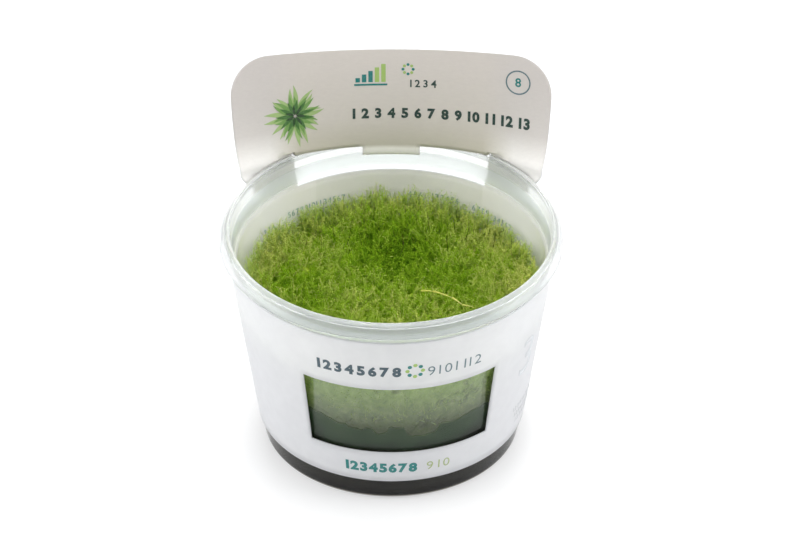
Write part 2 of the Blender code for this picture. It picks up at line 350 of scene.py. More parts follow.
def make_stage():
    """A pale studio: even soft light from all round, soft panels and a glowing white table."""
    scene = bpy.context.scene
    scene.view_settings.view_transform = "Standard"
    scene.cycles.use_denoising = True
    scene.world = bpy.data.worlds.new("studio")
    scene.world.use_nodes = True
    sky = scene.world.node_tree.nodes["Background"]
    sky.inputs["Color"].default_value = SKY_COLOUR
    sky.inputs["Strength"].default_value = SKY_STRENGTH
    for name, place, size, power in PANELS:
        panel = bpy.data.lights.new(name, "AREA")
        panel.shape = "RECTANGLE"
        panel.size, panel.size_y = size
        panel.energy = power
        look_at(add_object(name, panel), place, PANEL_AIM)
    paper = Surface("table_white", Roughness=0.8, Emission_Color=(1.0, 1.0, 1.0),
                    Emission_Strength=TABLE_GLOW)
    paper.into("Base Color", paper.grain(6.0, 0.45, 0.48))
    bm = bmesh.new()
    bmesh.ops.create_circle(bm, cap_ends=True, segments=96, radius=20.0)
    mesh = mesh_of("table", bm)
    mesh.materials.append(paper.material)
    add_object("table", mesh)


def wall_outer(z):
    return FOOT_RADIUS + WALL_SLOPE * z


def wall_inner(z):
    return wall_outer(z) - WALL_THICKNESS


def rounded(points, radius, steps=4):
    """Rounds the corners of an open outline; a point may carry its own radius as a third value."""
    out = [Vector(points[0][:2])]
    for before, here, after in zip(points, points[1:], points[2:]):
        corner = Vector(here[:2])
        into = Vector(before[:2]) - corner
        away = Vector(after[:2]) - corner
        reach = here[2] if len(here) > 2 else radius
        reach = min(reach, 0.45 * into.length, 0.45 * away.length)
        start = corner + into.normalized() * reach
        end = corner + away.normalized() * reach
        for step in range(steps + 1):
            share = step / steps
            out.append(start.lerp(corner, share).lerp(corner.lerp(end, share), share))
    out.append(Vector(points[-1][:2]))
    return out


def cup_profile():
    """The cup's half section: out along its floor, up inside, over the rim and down outside."""
    top = CUP_HEIGHT
    ledge_r = wall_inner(LEDGE_Z) + LEDGE_WIDTH
    lip_z = top - FLANGE_LIP_DROP
    edge_z = top - FLANGE_TOP_DROP
    web = WALL_THICKNESS
    rim_r = mix(ledge_r, MOUTH_RADIUS, (RIM_LOW_Z - LEDGE_Z) / (top - LEDGE_Z))
    return rounded([
        (0.0, FLOOR_THICKNESS),
        (wall_inner(0.0) - 0.0003, FLOOR_THICKNESS, 0.0012),
        (wall_inner(0.0024), 0.0024),
        (wall_inner(WET_FOOT_Z), WET_FOOT_Z, 0.0),
        (wall_inner(LEDGE_Z), LEDGE_Z),
        (ledge_r, LEDGE_Z + 0.0004),
        (rim_r, RIM_LOW_Z, 0.0),
        (MOUTH_RADIUS, top, 0.0004),
        (MOUTH_RADIUS + 0.0014, top - 0.0002, 0.0006),
        (FLANGE_RADIUS, edge_z, 0.0005),
        (FLANGE_RADIUS, lip_z, 0.0003),
        (FLANGE_RADIUS - web, lip_z, 0.0003),
        (FLANGE_RADIUS - web, edge_z - 0.0006),
        (MOUTH_RADIUS + 0.0014, top - 0.0013),
        (MOUTH_RADIUS + web, top - 0.0016),
        (rim_r + web, RIM_LOW_Z, 0.0),
        (ledge_r + web, LEDGE_Z - 0.0002),
        (wall_outer(LEDGE_Z - web), LEDGE_Z - web),
        (wall_outer(WET_FOOT_Z), WET_FOOT_Z, 0.0),
        (wall_outer(0.0022), 0.0022),
        (wall_outer(0.0), 0.0008, 0.0008),
        (wall_outer(0.0) - 0.0012, 0.0, 0.0006),
        (0.0, 0.0),
    ], 0.0004)


def turned(profile, steps):
    """Spins a half section, given as (radius, height) points, about Z into a closed body."""
    bm = bmesh.new()
    points = [bm.verts.new((point[0], 0.0, point[1])) for point in profile]
    edges = [bm.edges.new(pair) for pair in zip(points, points[1:])]
    bmesh.ops.spin(
        bm, geom=points + edges, cent=(0, 0, 0), axis=(0, 0, 1), angle=tau,
        steps=steps, use_merge=True,
    )
    bmesh.ops.remove_doubles(bm, verts=bm.verts, dist=1e-7)
    bmesh.ops.recalc_face_normals(bm, faces=bm.faces)
    return bm


def moulded_dents(plastic):
    return plastic.bump(plastic.noise(70.0, stretch=(1.0, 1.0, 0.35)), 0.0001, 0.4)


def thin_plastic():
    """Clear moulded plastic: glossy, milky in its flared wall, with a green film; it mirrors more in
    front over the moss, and almost nothing in two strips beside the window, which are painted shade.
    """
    plastic = Surface("clear_cup_plastic")
    height, across = plastic.axis("Z"), plastic.axis("X")
    # Two upright strips beside the window's edges, found by X, get no milk and almost no mirroring:
    # painted shade.
    clear_of_shaded_strips = plastic.node("Math", enumerate((
        plastic.between(across, SHADED_STRIP_LEFT_X - SHADED_STRIP_EDGE, SHADED_STRIP_LEFT_X + SHADED_STRIP_EDGE),
        plastic.between(across, SHADED_STRIP_RIGHT_X + SHADED_STRIP_EDGE, SHADED_STRIP_RIGHT_X - SHADED_STRIP_EDGE),
    )), operation="MULTIPLY")
    thin = plastic.between(clear_of_shaded_strips, 0.0, 1.0, 0.0, WALL_MILK)
    milk = plastic.between(height, LEDGE_Z - 0.0004, LEDGE_Z + 0.0012, thin, FLARE_MILK)

    def cloud(share, colour):
        """A layer that scatters light to both of its sides."""
        kinds = ("BsdfDiffuse", "BsdfTranslucent")
        return plastic.mixed(share, *(plastic.node(kind, [("Color", colour)]) for kind in kinds))

    clear = plastic.node("BsdfTransparent", [("Color", (0.99, 0.995, 0.992))])
    body = plastic.mixed(milk, clear, cloud(0.65, (0.88, 0.915, 0.915)))
    band = plastic.ramp(plastic.between(height, 0.044, 0.056), (0.14, 0.0), (0.24, FILM_SHARE),
                        (0.48, FILM_SHARE * 0.8), (0.80, 0.0))
    film = plastic.times(band, plastic.grain(240.0, 0.25, 1.0, 3.0, 0.6, 0.34, 0.62))
    film_share = plastic.node("SeparateColor", [(0, film)])
    body = plastic.mixed(film_share, body, cloud(0.5, (0.84, 0.96, 0.66)))
    slant = plastic.node("LayerWeight", [("Blend", 0.5)], "Facing")
    steep = plastic.node("Math", enumerate((slant, 5.0)), operation="POWER")
    band_mirrors = plastic.ramp(
        plastic.between(height, 0.024, 0.052), (0.12, PLASTIC_MIRRORS),
        (0.32, MOSS_BAND_MIRRORS), (0.74, MOSS_BAND_MIRRORS), (0.95, PLASTIC_MIRRORS),
    )
    shown = plastic.blend(clear_of_shaded_strips, (SHADED_STRIP_MIRRORS,) * 3, band_mirrors)
    mirrored = plastic.between(steep, 0.0, 1.0, plastic.node("SeparateColor", [(0, shown)]))
    gloss = plastic.node("BsdfAnisotropic", [
        ("Roughness", plastic.uneven(90.0, 0.04, 0.08)), ("Normal", moulded_dents(plastic)),
    ])
    plastic.show(plastic.mixed(mirrored, body, gloss))
    plastic.tree.nodes.remove(plastic.shader)
    return plastic.material


def wet_plastic():
    """The same plastic where gel wets it: it bends the view, so the gel seems to fill it. Its lowest
    millimetres are tinted near black, as painted shade under the cup.
    """
    foot = Surface("clear_plastic_on_gel", Transmission_Weight=1.0, IOR=1.36)
    # Near black at the foot, clear above: painted shade under the cup.
    level = foot.between(foot.axis("Z"), 0.0, 0.006)
    foot.into("Base Color", foot.ramp(
        level, (0.25, (0.10, 0.09, 0.07)), (0.65, (0.97, 0.985, 0.975)),
    ))
    foot.into("Roughness", foot.uneven(90.0, 0.04, 0.08))
    moulded_dents(foot)
    return foot.material


def rim_plastic():
    """The same plastic in the rim, which is thick and curved enough to bend the view."""
    rim = Surface("clear_plastic_rim", Transmission_Weight=1.0, IOR=1.45)
    haze = rim.grain(60.0, (0.94, 0.95, 0.95), (0.98, 0.985, 0.985), 3.0)
    # The rim is tinted grey at the front and clear at the sides: painted shade for the dark gap and
    # moss seen through the front of the flange.
    forward = rim.between(rim.axis("Y"), -0.050, -0.015)
    front_painted_shade = rim.ramp(forward, (0.05, (0.69, 0.705, 0.715)), (0.90, 1.0))
    rim.into("Base Color", rim.times(haze, front_painted_shade))
    rim.into("Roughness", rim.uneven(90.0, 0.18, 0.26))
    milky = rim.node("BsdfDiffuse", [("Color", (0.86, 0.885, 0.89))])
    rim.show(rim.mixed(RIM_MILK, rim.shader.outputs[0], milky))
    return rim.material


def make_cup():
    bm = turned(cup_profile(), CUP_STEPS)
    for face in bm.faces:
        height = face.calc_center_median().z
        face.material_index = 1 if height < WET_FOOT_Z else 2 if height > RIM_LOW_Z else 0
    finish_mesh("cup_clear", bm, [thin_plastic(), wet_plastic(), rim_plastic()],
                "cup", sharp_deg=50.0)


def sleeve_radius(z):
    return SLEEVE_LOW_RADIUS + SLEEVE_SLOPE * (z - SLEEVE_LOW_Z)


def header_half_width(z):
    """Half of the card's width above the wrap: a filleted neck, a flare and rounded corners."""
    width = NECK_HALF_WIDTH + HEADER_SIDE_FLARE * max(z - SLEEVE_HIGH_Z - NECK_FILLET, 0.0)
    down = SLEEVE_HIGH_Z + NECK_FILLET - z
    if down > 0.0:
        width += NECK_FILLET - sqrt(max(NECK_FILLET**2 - down**2, 0.0))
    up = z - (HEADER_HIGH_Z - HEADER_CORNER_RADIUS)
    if up > 0.0:
        width += sqrt(max(HEADER_CORNER_RADIUS**2 - up**2, 0.0)) - HEADER_CORNER_RADIUS
    return width


def shoulder_radius(z):
    """The least radius at which the shoulders, beside the slot, pass round the cup's flange."""
    outside = FLANGE_RADIUS + SHOULDER_CLEARANCE
    lip_z = CUP_HEIGHT - FLANGE_LIP_DROP
    edge_z = CUP_HEIGHT - FLANGE_TOP_DROP
    if z < lip_z:
        return mix(sleeve_radius(SLEEVE_HIGH_Z), outside, ease(z, SLEEVE_HIGH_Z - 0.001, lip_z))
    if z < edge_z:
        return outside
    return mix(outside, MOUTH_RADIUS + 0.0016, (z - edge_z) / (SLOT_HIGH_Z - edge_z))


def header_bend(z):
    """The header's curvature, in 1/m: it springs flatter the higher it stands over the cup."""
    fade = exp(-max(z - SLOT_HIGH_Z, 0.0) / HEADER_BEND_FADE)
    return mix(HEADER_HIGH_BEND, HEADER_LOW_BEND, fade)


BACK_RADIUS = sleeve_radius(SLEEVE_HIGH_Z)
NECK_BASE = NECK_HALF_WIDTH + NECK_FILLET
SLOT_DEG = degrees(SLOT_HALF_WIDTH / BACK_RADIUS)
TAB_DEG = degrees(TAB_HALF_WIDTH / BACK_RADIUS)
NECK_DEG = degrees(NECK_BASE / BACK_RADIUS)


def header_plan(along, z):
    """Where the bent header is, seen from above, at a distance along it from its middle."""
    bend = header_bend(z)
    middle_y = HEADER_MIDDLE_Y + HEADER_LEAN * (z - SLOT_HIGH_Z)
    return Vector((sin(along * bend) / bend, middle_y - (1.0 - cos(along * bend)) / bend))


def header_crown(along, z):
    return HEADER_CROWN * along**2 * ease(z, SLOT_HIGH_Z, HEADER_HIGH_Z)


def card_point(front_deg, z):
    """Where the card is, for an angle from the front on the wrap and a height.

    Below SLEEVE_HIGH_Z the card is a cone. Above it, the part round the back opens out into
    the gently bent header, and its shoulders bow out past the flange.
    """
    radius = sleeve_radius(min(z, HEADER_FREE_Z))
    angle = radians(front_deg)
    back_deg = abs(180.0 - front_deg % 360.0)
    if z <= SLOT_LOW_Z or back_deg > NECK_DEG + 1e-6:
        return Vector((radius * sin(angle), -radius * cos(angle), z))
    along = radians(back_deg) * BACK_RADIUS
    outward = (along - SLOT_HALF_WIDTH) / (NECK_BASE - SLOT_HALF_WIDTH)
    if outward > 0.0:
        along = mix(SLOT_HALF_WIDTH, header_half_width(max(z, SLEEVE_HIGH_Z)), outward)
    else:
        along *= min(header_half_width(z) / NECK_HALF_WIDTH, 1.0)
    side = copysign(1.0, 180.0 - front_deg)
    on_cone = Vector((
        side * radius * sin(along / BACK_RADIUS), radius * cos(along / BACK_RADIUS),
    ))
    opening_z = mix(SLOT_LOW_Z, SLEEVE_HIGH_Z, min(max(outward, 0.0), 1.0))
    flat = on_cone.lerp(header_plan(side * along, z), ease(z, opening_z, HEADER_FREE_Z))
    if z < SLOT_HIGH_Z + 1e-6 and outward > -1e-6:
        flat.y = max(flat.y, sqrt(max(shoulder_radius(z)**2 - flat.x**2, 0.0)))
    return Vector((flat.x, flat.y, z + header_crown(along, z)))


def card_columns():
    """Angles from the front, once round past +X and the back, with a column on every cut edge."""
    stops = [
        (WINDOW_LEFT_DEG, 0), (WINDOW_RIGHT_DEG, 40), (180.0 - NECK_DEG, 40),
        (180.0 - SLOT_DEG, 22), (180.0 - TAB_DEG, 18), (180.0 + TAB_DEG, 12),
        (180.0 + SLOT_DEG, 18), (180.0 + NECK_DEG, 22), (360.0 + WINDOW_LEFT_DEG, 44),
    ]
    columns = []
    for (low_deg, _), (high_deg, count) in zip(stops, stops[1:]):
        columns += steps_between(low_deg, high_deg, count)
    return columns


def card_rows():
    """Heights up the card, with a row on every cut edge and close ones round each bend."""
    corner_z = HEADER_HIGH_Z - HEADER_CORNER_RADIUS
    rows = [SLEEVE_LOW_Z]
    rows += steps_between(SLEEVE_LOW_Z, WINDOW_LOW_Z, 4)
    rows += steps_between(WINDOW_LOW_Z, WINDOW_HIGH_Z, 8)
    rows += steps_between(WINDOW_HIGH_Z, SLOT_LOW_Z, 6)
    rows += steps_between(SLOT_LOW_Z, SLEEVE_HIGH_Z, 6)
    turns = [radians(90.0 * step / 8) for step in range(1, 9)]
    rows += [SLEEVE_HIGH_Z + NECK_FILLET * (1.0 - cos(turn)) for turn in turns]
    rows += [TAB_LOW_Z]
    rows += steps_between(TAB_LOW_Z, SLOT_HIGH_Z, 5)
    rows += steps_between(SLOT_HIGH_Z, corner_z, 18)
    turns = [radians(90.0 * step / 14) for step in range(1, 15)]
    rows += [corner_z + HEADER_CORNER_RADIUS * sin(turn) for turn in turns]
    return rows


def card_is_solid(front_deg, z):
    """Tells whether there is card at a place on the pattern, away from its cut edges."""
    back_deg = abs(180.0 - front_deg % 360.0)
    in_window_width = WINDOW_LEFT_DEG < (front_deg + 180.0) % 360.0 - 180.0 < WINDOW_RIGHT_DEG
    if in_window_width and WINDOW_LOW_Z < z < WINDOW_HIGH_Z:
        return False
    if z > SLEEVE_HIGH_Z and back_deg > NECK_DEG:
        return False
    if back_deg < SLOT_DEG and SLOT_LOW_Z < z < SLOT_HIGH_Z:
        return back_deg < TAB_DEG and z > TAB_LOW_Z
    return True


def coated_board():
    """The smooth printed side of the card: cool white with a slight sheen."""
    board = Surface("card_coated_white", Specular_IOR_Level=0.35, Coat_Weight=0.12,
                    Coat_Roughness=0.3)
    white = board.grain(260.0, (0.775, 0.782, 0.805), (0.815, 0.822, 0.845), 4.0, 0.5, 0.25, 0.75)
    board.into("Base Color", white)
    board.let_light_through(white, CARD_LETS_THROUGH)
    board.into("Roughness", board.uneven(700.0, 0.42, 0.56))
    board.bump(board.noise(2600.0, 3.0), 0.00002, 0.6)
    return board.material


def plain_board():
    """The uncoated side: a warmer grey with fibres in it, near white inside the wrap and darker up the
    header, darkest low in its middle: painted light and shade.
    """
    board = Surface("card_plain_warm", Specular_IOR_Level=0.2)
    fibres = board.noise(1500.0, 4.0, 0.6, stretch=(0.35, 1.0, 1.0))
    # Painted light and shade by height and by distance from the middle: near white inside the wrap,
    # darker and warmer up the header, darkest low in its middle, lighter towards its sides.
    level = board.between(board.axis("Z"), 0.060, 0.100)
    middle = board.ramp(
        level, (0.24, (0.960, 0.930, 0.860)), (0.27, (0.610, 0.575, 0.480)),
        (0.50, (0.700, 0.655, 0.600)), (0.90, (0.720, 0.670, 0.625)),
    )
    side = board.ramp(
        level, (0.24, (0.960, 0.940, 0.900)), (0.46, (0.700, 0.662, 0.630)),
        (0.90, (0.690, 0.645, 0.615)),
    )
    away = board.node("Math", [(0, board.axis("X"))], operation="ABSOLUTE")
    painted_light_and_shade = board.blend(board.between(away, 0.027, 0.036), middle, side)
    warm = board.times(painted_light_and_shade, board.ramp(fibres, (0.3, 0.96), (0.7, 1.0)))
    board.into("Base Color", warm)
    board.let_light_through(warm, CARD_LETS_THROUGH)
    board.into("Roughness", board.uneven(500.0, 0.62, 0.78))
    board.bump(fibres, 0.00003, 0.7)
    return board.material


def make_card_sleeve():
    """One die-cut card: the wrap with its window, the neck, the slot with its tab, the header."""
    bm = bmesh.new()
    columns = card_columns()
    rows = sorted(set(card_rows()))
    corners = {}

    def corner(column, row):
        key = (column % len(columns), row)
        if key not in corners:
            corners[key] = bm.verts.new(card_point(columns[key[0]], rows[row]))
        return corners[key]

    for column, (low_deg, high_deg) in enumerate(zip(columns, columns[1:] + [columns[0] + 360.0])):
        middle_deg = mix(low_deg, high_deg, 0.5)
        for row in range(len(rows) - 1):
            if card_is_solid(middle_deg, mix(rows[row], rows[row + 1], 0.5)):
                bm.faces.new((
                    corner(column, row), corner(column + 1, row),
                    corner(column + 1, row + 1), corner(column, row + 1),
                ))
    card = finish_mesh("card_sleeve_board", bm, [coated_board(), plain_board()],
                       "card_sleeve", sharp_deg=50.0)
    thick = card.modifiers.new("thickness", "SOLIDIFY")
    thick.thickness = CARD_THICKNESS
    thick.offset = 0.0
    thick.use_even_offset = True
    thick.material_offset = 1


def on_wrap(middle_deg, middle_z, inside=False):
    """Lays a flat print on the wrap: (right, up, height) round its middle to a point."""
    radius = sleeve_radius(middle_z)
    tilt = atan(SLEEVE_SLOPE)
    way = -1.0 if inside else 1.0

    def lay(right, up, height):
        turn = radians(middle_deg) + way * right / radius
        z = middle_z + up * cos(tilt)
        lift = way * (CARD_THICKNESS / 2 + PRINT_LIFT + height)
        out = sleeve_radius(z) + lift * cos(tilt)
        return Vector((out * sin(turn), -out * cos(turn), z - lift * sin(tilt)))

    return lay


def on_header(middle, middle_z):
    """Lays a flat print on the header's face, at a distance along it from its middle."""
    def lay(right, up, height):
        along = middle + right
        z = middle_z + up * cos(HEADER_LEAN)
        bent = along * header_bend(z)
        face = Vector((-sin(bent), -cos(bent), HEADER_LEAN)).normalized()
        plan = header_plan(along, z)
        point = Vector((plan.x, plan.y, z + header_crown(along, z)))
        return point + face * (CARD_THICKNESS / 2 + PRINT_LIFT + height)

    return lay


def add_band(bm, edge_a, edge_b, lay, ink, level=0, closed=False):
    """Adds a thin solid band of ink between two lines of (right, up) points."""
    top = PRINT_THICKNESS * (level + 1)
    rings = []
    for edge, height in ((edge_a, 0.0), (edge_b, 0.0), (edge_b, top), (edge_a, top)):
        rings.append([bm.verts.new(lay(right, up, height)) for right, up in edge])
    count = len(edge_a)
    for k in range(count if closed else count - 1):
        after = (k + 1) % count
        for ring, beside in zip(rings, rings[1:] + rings[:1]):
            bm.faces.new((ring[k], ring[after], beside[after], beside[k])).material_index = ink
    if not closed:
        for end in (0, -1):
            bm.faces.new([ring[end] for ring in rings]).material_index = ink


def add_disc(bm, right, up, radius, lay, ink, level=0):
    turns = [pi * step / 12 for step in range(13)]
    high = [(right - radius * cos(t), up + radius * sin(t) + 1e-6) for t in turns]
    low = [(right - radius * cos(t), up - radius * sin(t) - 1e-6) for t in turns]
    add_band(bm, high, low, lay, ink, level)


def add_ring(bm, radius, width, lay, ink):
    turns = [tau * step / 64 for step in range(64)]
    outer = [(radius * cos(t), radius * sin(t)) for t in turns]
    inner = [((radius - width) * cos(t), (radius - width) * sin(t)) for t in turns]
    add_band(bm, outer, inner, lay, ink, closed=True)


def add_bar(bm, left, low, width, height, lay, ink):
    steps = max(2, int(width / 0.002) + 1)
    places = [left + width * step / steps for step in range(steps + 1)]
    add_band(bm, [(place, low + height) for place in places], [(place, low) for place in places],
             lay, ink)


def number_shape(text, height, weight):
    """A plain number as a flat solid of that height, about its middle, and its width."""
    curve = bpy.data.curves.new("number", "FONT")
    curve.body = text
    curve.extrude = 0.5
    curve.offset = weight
    curve.resolution_u = 3
    shape = bpy.data.objects.new("number", curve)
    bpy.context.scene.collection.objects.link(shape)
    mesh = bpy.data.meshes.new_from_object(shape.evaluated_get(bpy.context.evaluated_depsgraph_get()))
    points = np.array([vert.co for vert in mesh.vertices])
    faces = [tuple(face.vertices) for face in mesh.polygons]
    bpy.data.objects.remove(shape)
    bpy.data.curves.remove(curve)
    bpy.data.meshes.remove(mesh)
    low, high = points.min(0), points.max(0)
    scale = height / (high[1] - low[1])
    points[:, :2] = (points[:, :2] - (low + high)[:2] / 2) * scale
    return points, faces, (high[0] - low[0]) * scale


def add_numbers(bm, first, last, width, height, weight, lay, ink):
    """Adds a row of plain numbers, spaced out to fill a width."""
    shapes = [number_shape(str(number), height, weight) for number in range(first, last + 1)]
    gap = (width - sum(shape[2] for shape in shapes)) / max(len(shapes) - 1, 1)
    left = -width / 2 if len(shapes) > 1 else -shapes[0][2] / 2
    for points, faces, wide in shapes:
        middle = left + wide / 2
        verts = [
            bm.verts.new(lay(x + middle, y, (z + 0.5) * PRINT_THICKNESS)) for x, y, z in points
        ]
        for face in faces:
            bm.faces.new([verts[k] for k in face]).material_index = ink
        left += wide + gap


def add_dotted_ring(bm, radius, dot, lay):
    for k in range(8):
        turn = tau * k / 8
        add_disc(bm, radius * cos(turn), radius * sin(turn), dot, lay, k % 2)


def add_gauge(bm, lay):
    """Adds five growing bars on a ground line."""
    add_bar(bm, -0.0049, -0.0035, 0.0098, 0.0006, lay, 0)
    for k in range(5):
        add_bar(bm, -0.0045 + 0.0019 * k, -0.0024, 0.0013, 0.0014 + 0.0011 * k, lay, k > 2)


def add_rosette(bm, radius, lay):
    """A round spray of pointed petals, ring upon ring, from light tips to a dark heart."""
    rings = (
        (17, 1.00, 0.17, 0.0), (15, 0.80, 0.17, 0.21), (11, 0.60, 0.20, 0.1), (7, 0.38, 0.24, 0.0),
    )
    for level, (count, reach, width, start) in enumerate(rings):
        for k in range(count):
            turn = tau * (k + start * count / 2) / count
            uneven = 1.0 + 0.10 * sin(5.0 * k + level)
            edges = ([], [])
            for step in range(9):
                share = step / 8
                out = radius * reach * uneven * mix(0.10, 1.0, share)
                half = radius * width * reach * (sin(pi * share**0.8) * 0.5 + 0.012)
                sway = turn + 0.16 * share**2 * cos(3.0 * k + level)
                for edge, side in zip(edges, (half, -half)):
                    edge.append((
                        out * cos(sway) - side * sin(sway), out * sin(sway) + side * cos(sway),
                    ))
            add_band(bm, *edges, lay, level, 2 * level + k % 2)


def ink(name, colour):
    """Matt printing ink that shows a little of the board's grain."""
    made = Surface("ink_" + name, Specular_IOR_Level=0.3)
    faded = tuple(mix(channel, 0.6, 0.10) for channel in colour)
    made.into("Base Color", made.grain(1800.0, colour, faded, 3.0, 0.5, 0.35, 0.75))
    made.into("Roughness", made.uneven(900.0, 0.40, 0.55))
    return made.material


def make_prints():
    """Plain numbers and simple figures where the card is printed."""
    inks = {name: ink(name, colour) for name, colour in INKS.items()}

    def printed(name, colours, *figures):
        bm = bmesh.new()
        for draw, *values in figures:
            draw(bm, *values)
        bmesh.ops.recalc_face_normals(bm, faces=bm.faces)
        finish_mesh(name, bm, [inks[colour] for colour in colours], None, 30.0)

    printed(
        "print_front_row", ("slate", "slate_pale"),
        (add_numbers, 1, 8, 0.0246, 0.0038, 0.050, on_wrap(-11.95, 0.0520), 0),
        (add_numbers, 9, 12, 0.0166, 0.0035, -0.008, on_wrap(23.45, 0.0515), 1),
    )
    printed(
        "print_front_emblem", ("green_pale", "teal"),
        (add_dotted_ring, 0.0022, 0.00062, on_wrap(8.4, 0.0522)),
    )
    printed(
        "print_low_row", ("teal", "green_grey"),
        (add_numbers, 1, 8, 0.0208, 0.0037, 0.050, on_wrap(-4.3, 0.0133), 0),
        (add_numbers, 9, 10, 0.0070, 0.0032, -0.004, on_wrap(19.6, 0.0132), 1),
    )
    printed(
        "print_side_block", ("grey_pale",),
        (add_numbers, 3, 3, 0.0, 0.0135, 0.0, on_wrap(63.0, 0.0394), 0),
        (add_numbers, 1, 16, 0.0290, 0.0016, 0.0, on_wrap(80.0, 0.0195), 0),
        (add_numbers, 1, 14, 0.0260, 0.0016, 0.0, on_wrap(80.0, 0.0167), 0),
        (add_numbers, 1, 12, 0.0230, 0.0016, 0.0, on_wrap(80.0, 0.0139), 0),
    )
    printed(
        "print_header_rows", ("green_black",),
        (add_numbers, 1, 13, 0.0530, 0.0033, 0.050, on_header(0.0151, 0.0809), 0),
        (add_numbers, 1, 4, 0.0078, 0.0024, 0.02, on_header(0.0095, 0.0904), 0),
    )
    ring = on_header(0.0377, 0.0929)
    printed(
        "print_header_ring", ("slate_pale", "teal"),
        (add_ring, 0.00375, 0.00042, ring, 0), (add_numbers, 8, 8, 0.0, 0.0028, 0.02, ring, 1),
    )
    printed(
        "print_header_gauge", ("teal", "green_pale"), (add_gauge, on_header(-0.0060, 0.0932)),
        (add_dotted_ring, 0.0015, 0.00045, on_header(0.0050, 0.0949)),
    )
    printed(
        "print_header_picture", ("leaf_pale", "leaf_mid", "leaf_deep", "leaf_dark"),
        (add_rosette, 0.0088, on_header(-0.0286, 0.0818)),
    )
    printed("print_inside_rows", ("teal_pale",), *(
        (add_numbers, first, last, width, 0.0018, 0.0, on_wrap(180.0 + place, z, True), 0)
        for place, z, first, last, width in INSIDE_GROUPS
    ))


def gel_edge_z(front_deg):
    """How high the gel stands against the wall: moss and roots press into it in round lobes."""
    turn = (front_deg + 180.0) % 360.0 - 180.0
    angle = np.radians(turn)
    wave = 0.9 * np.sin(5.0 * angle + 0.8) + 0.6 * np.sin(9.0 * angle)
    height = 28.4 + wave * ease(abs(turn - 4.0), 34.0, 60.0)
    height += 0.22 * np.sin(37.0 * angle) + 0.14 * np.sin(71.0 * angle + 1.0)
    height += 1.6 * (1.0 - ease(abs(turn + 36.0), 2.0, 17.0))
    height += 1.0 * (1.0 - ease(abs(turn - 42.0), 2.0, 16.0))
    for middle, reach, depth in GEL_LOBES:
        height -= depth * np.sqrt(np.maximum(1.0 - ((turn - middle) / reach)**2, 0.0))
    return height / 1000.0


def gel_top(x, y):
    """The gel's top: uneven in the middle, lobed where it meets the wall."""
    wave = np.sin(210.0 * x + 1.3) * np.cos(170.0 * y - 0.4)
    middle = GEL_TOP_Z + 0.0013 * (wave + 0.5 * np.sin(330.0 * x - 260.0 * y))
    edge = gel_edge_z(np.degrees(np.arctan2(x, -y)))
    return mix(middle, edge, ease(np.hypot(x, y), 0.030, 0.0385))


def ring_at(turn, radius, height):
    """Points round the cup's axis, turning from the front; the height may be a function of x, y."""
    x, y = radius * np.sin(turn), -radius * np.cos(turn)
    return np.column_stack([x, y, height(x, y) if callable(height) else height + 0.0 * turn])


def lofted(rings, low_z, high_z):
    """Points and triangles of a closed body through rings, with a middle point at each end."""
    around = len(rings[0])
    points = np.concatenate([*rings, [(0.0, 0.0, low_z), (0.0, 0.0, high_z)]])
    k = np.arange(around)
    after = (k + 1) % around
    triangles = []
    for a in range(0, (len(rings) - 1) * around, around):
        b = a + around
        triangles += [(a + k, a + after, b + after), (a + k, b + after, b + k)]
    last = (len(rings) - 1) * around
    middle = np.full(around, len(points) - 2)
    triangles += [(middle, after, k), (middle + 1, last + k, last + after)]
    return points, np.concatenate([np.stack(corners, axis=1) for corners in triangles])


def make_growth_gel():
    """Dark nutrient gel that wets the cup all round, so there is no air behind the wall."""
    turn = np.radians(np.arange(90.0, 450.0))
    low_z = FLOOR_THICKNESS - GEL_WETS
    rings = [ring_at(turn, wall_inner(0.0) - 0.0008 + GEL_WETS, low_z)]
    for z in (0.0016, 0.0040, 0.0110, 0.0180, gel_edge_z(np.degrees(turn))):
        rings.append(ring_at(turn, wall_inner(z) + GEL_WETS, z))
    edge = wall_inner(GEL_TOP_Z - 0.0050) - 0.0004
    rings += [ring_at(turn, edge * k / 30, gel_top) for k in range(30, 0, -1)]
    bm = bmesh.new()
    loops = [[bm.verts.new(point) for point in ring] for ring in rings]
    low = bm.verts.new((0.0, 0.0, low_z))
    high = bm.verts.new((0.0, 0.0, gel_top(0.0, 0.0)))
    pairs = [(k, (k + 1) % len(turn)) for k in range(len(turn))]
    for a, b in zip(loops, loops[1:]):
        for k, after in pairs:
            bm.faces.new((a[k], a[after], b[after], b[k]))
    for k, after in pairs:
        bm.faces.new((low, loops[0][after], loops[0][k]))
        bm.faces.new((high, loops[-1][k], loops[-1][after]))
    bmesh.ops.recalc_face_normals(bm, faces=bm.faces)
    # Faces that look up take a lighter colour: painted light on the gel's top, which lies in shade
    # under the moss.
    for face in bm.faces:
        face.material_index = int(face.normal.z > 0.3)
    gel = Surface("nutrient_gel", Roughness=0.4, Specular_IOR_Level=0.05)
    folds = gel.between(gel.noise(75.0), 0.3, 0.7, -0.004, 0.004)
    level = gel.node("Math", enumerate((gel.axis("Z"), folds)))
    cast = gel.ramp(
        gel.between(level, 0.008, 0.028), (0.0, (0.010, 0.008, 0.003)),
        (0.45, (0.008, 0.014, 0.005)), (0.72, (0.020, 0.042, 0.018)), (1.0, (0.034, 0.060, 0.026)),
    )
    gel.into("Base Color", gel.times(cast, gel.grain(500.0, 0.8, 1.0, 3.0)))
    top = Surface("nutrient_gel_top_painted_light", Roughness=0.4, Specular_IOR_Level=0.05)
    top.into("Base Color", top.grain(300.0, (0.12, 0.18, 0.07), (0.19, 0.26, 0.11)))
    finish_mesh("growth_gel_fill", bm, [gel.material, top.material],
                "growth_gel", 60.0)


